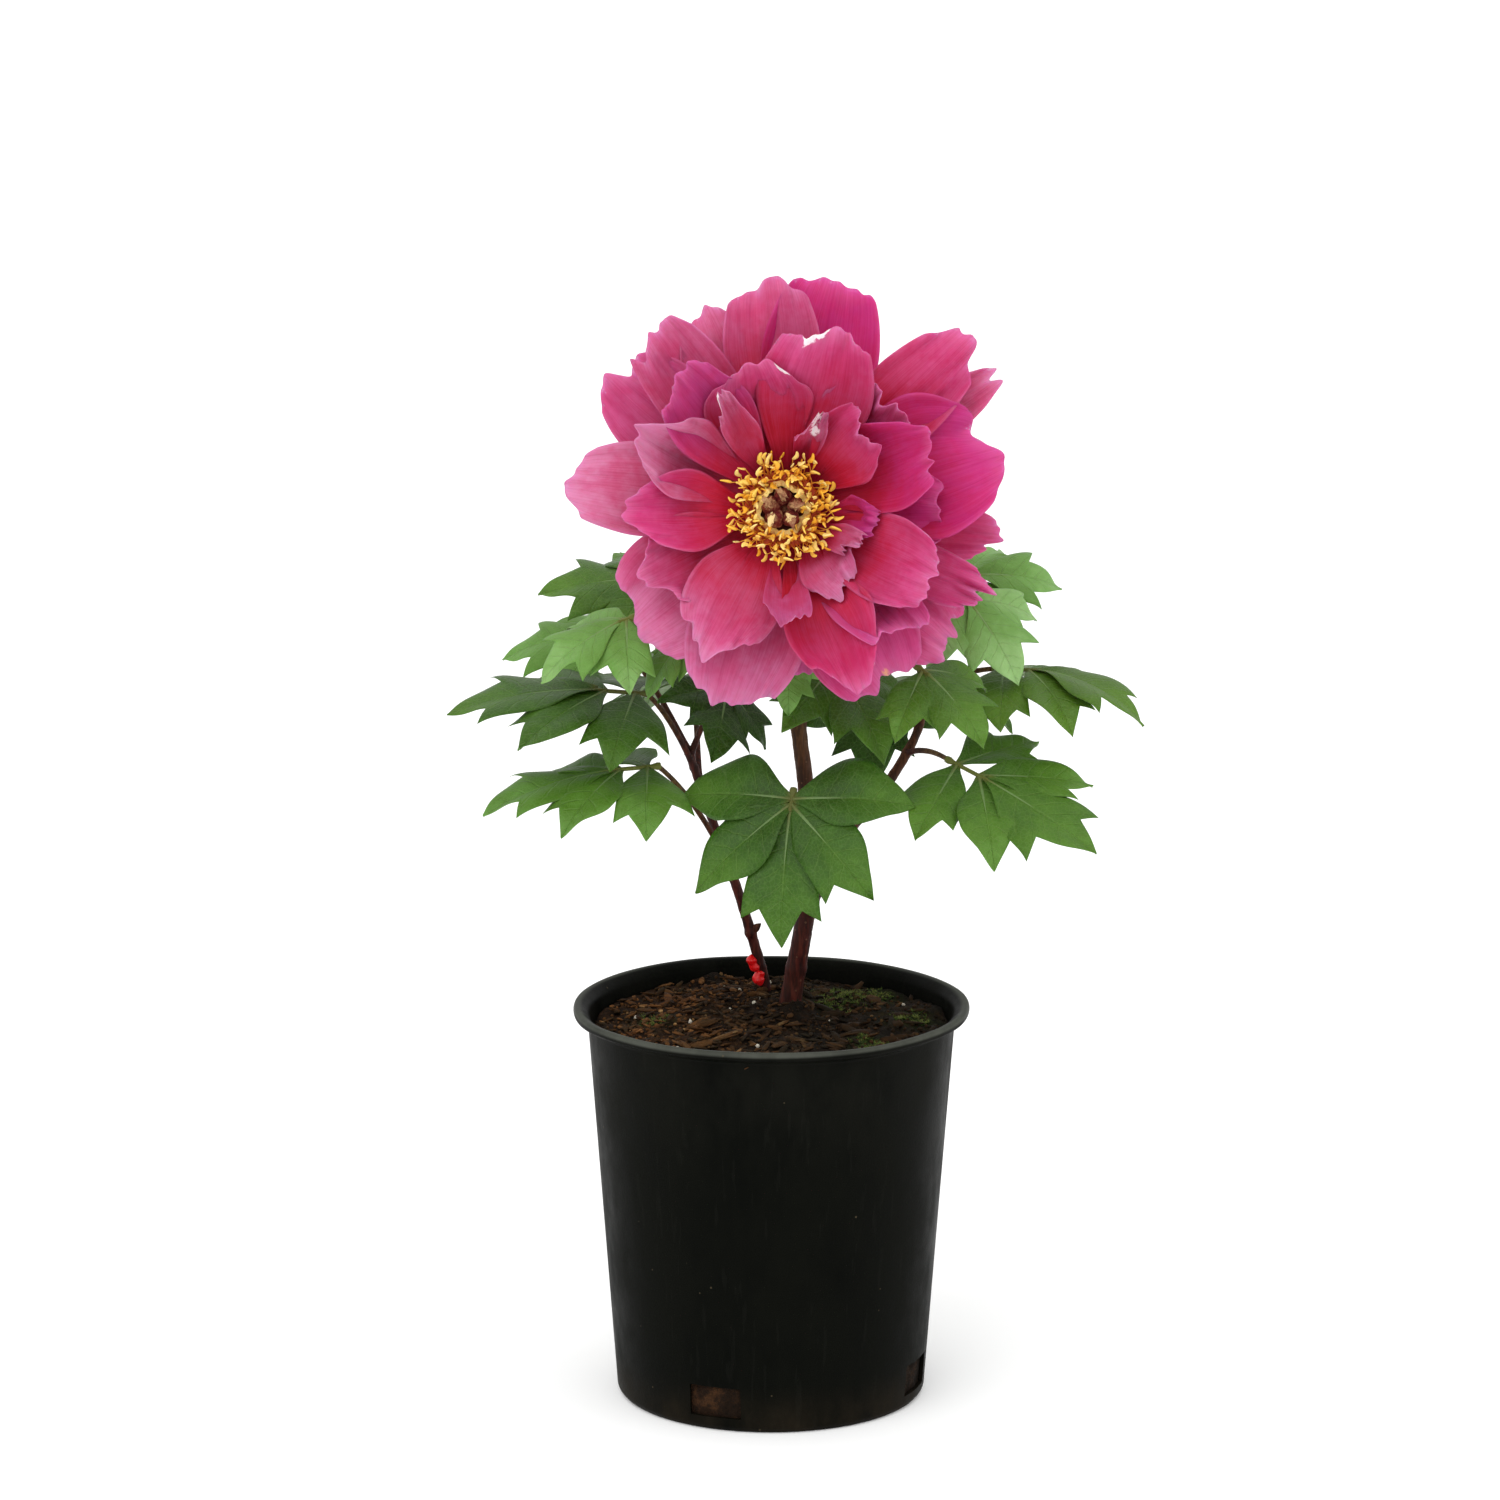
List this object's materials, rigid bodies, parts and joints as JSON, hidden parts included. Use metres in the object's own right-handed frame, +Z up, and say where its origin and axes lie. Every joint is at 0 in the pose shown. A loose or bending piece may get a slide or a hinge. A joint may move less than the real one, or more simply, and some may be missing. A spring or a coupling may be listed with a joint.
{
  "type": "potted flowering plant",
  "caption": "Potted itoh peony with an open pink bloom and golden stamens above divided leaves on woody canes, in a black tapered nursery pot of bark mix",
  "frame": {"origin": "middle of the pot's flat underside, on the surface that it stands on", "axes": "+Z up through the pot and the plant; the bloom faces -Y, and +X is to the right of someone who looks at its face"},
  "size_m": [0.3888, 0.2641, 0.6362],
  "materials": {
    "pot_plastic": "black blow-moulded nursery pot, faint mould grain and pale scuffs",
    "bark_mix": "loose composted bark, brown chips over darker fines with a little moss",
    "cane_bark": "dark red-brown cane and leaf stalks, satin",
    "leaf_green": "living leaf, mid to deep green, satin above and paler below",
    "petal_pink": "living petal, magenta pink with a crimson base, finely veined, soft satin",
    "stamen_gold": "powdery golden anthers on orange threads",
    "sheath_cream": "waxy cream cup",
    "carpel_maroon": "downy maroon seed pods with tan stigmas",
    "calyx_green": "pale green sepals and receptacle",
    "tie_red": "bright red plastic band"
  },
  "bodies": {
    "root": {"nursery_pot": "pot_plastic", "potting_soil": "bark_mix", "cane_main": "cane_bark", "cane_left": "cane_bark", "leaf_front": "leaf_green", "leaf_left_low": "leaf_green", "leaf_left_mid": "leaf_green", "leaf_left_bright": "leaf_green", "leaf_left_top": "leaf_green", "leaf_left_far": "leaf_green", "leaf_left_under": "leaf_green", "leaf_centre_left": "leaf_green", "leaf_right_low": "leaf_green", "leaf_right_mid": "leaf_green", "leaf_right_green": "leaf_green", "leaf_right_pale": "leaf_green", "leaf_right_top": "leaf_green", "leaf_centre_right": "leaf_green", "leaf_under_bloom": "leaf_green", "leaf_back_left": "leaf_green", "leaf_back_middle": "leaf_green", "leaf_back_right": "leaf_green", "leaf_inner_right": "leaf_green", "bloom_petals": "petal_pink", "bloom_stamens": "stamen_gold", "bloom_sheath": "sheath_cream", "bloom_carpels": "carpel_maroon", "bloom_calyx": "calyx_green", "stem_tie": "tie_red"}
  },
  "joints": []
}
